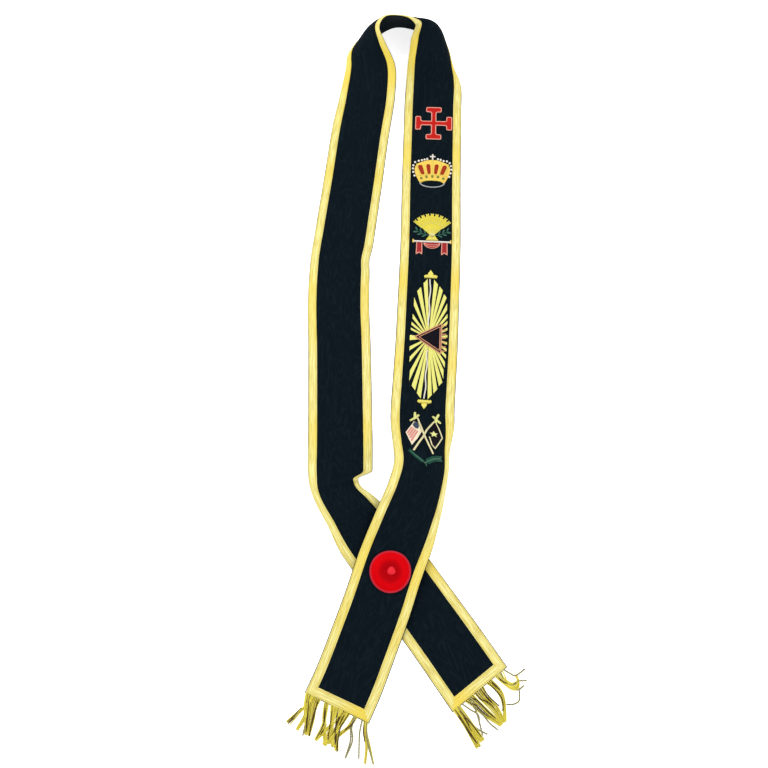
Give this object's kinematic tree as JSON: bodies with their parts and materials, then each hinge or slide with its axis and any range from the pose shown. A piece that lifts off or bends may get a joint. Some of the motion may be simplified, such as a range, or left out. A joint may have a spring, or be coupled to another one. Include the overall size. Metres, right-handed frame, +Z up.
{
  "type": "masonic sash",
  "caption": "Black moire regalia sash with gold lace edges, embroidered emblems, a red rosette where the tails cross and gold bullion fringe, laid flat in a loop",
  "frame": {"origin": "middle of the laid sash on the surface it lies on, at the middle of its bounding box", "axes": "+Z up from the surface, +Y along the loop from the crossed tails to the far end, +X to the strand that carries the emblems"},
  "size_m": [0.3052, 1.0968, 0.0807],
  "materials": {
    "moire_black": "black watered silk ribbon",
    "gold_lace": "woven metallic gold lace with lengthwise ribs",
    "gold_bullion": "twisted gold bullion thread",
    "rosette_red": "pleated red ribbon",
    "button_red": "red covered button",
    "thread_red": "red embroidery thread with a pale outline",
    "thread_gold": "gold embroidery thread",
    "thread_yellow": "yellow embroidery thread",
    "thread_crimson": "crimson embroidery thread",
    "thread_pale_gold": "pale gold embroidery thread",
    "thread_black": "black embroidery thread with a gold rope border",
    "thread_cream": "cream embroidery thread",
    "thread_green": "dark green embroidery thread"
  },
  "bodies": {
    "root": {"moire_ribbon": "moire_black", "lace_outer": "gold_lace", "lace_inner": "gold_lace", "end_lace_front": "gold_lace", "end_lace_back": "gold_lace", "fringe_front": "gold_bullion", "fringe_back": "gold_bullion", "rosette_disc": "rosette_red", "rosette_button": "button_red", "cross_motif": "thread_red", "crown_motif": "thread_gold", "sheaf_motif": "thread_yellow", "swag_motif": "thread_crimson", "glory_motif": "thread_pale_gold", "triangle_motif": "thread_black", "flags_motif": "thread_cream", "sprig_motif": "thread_green"}
  },
  "joints": []
}
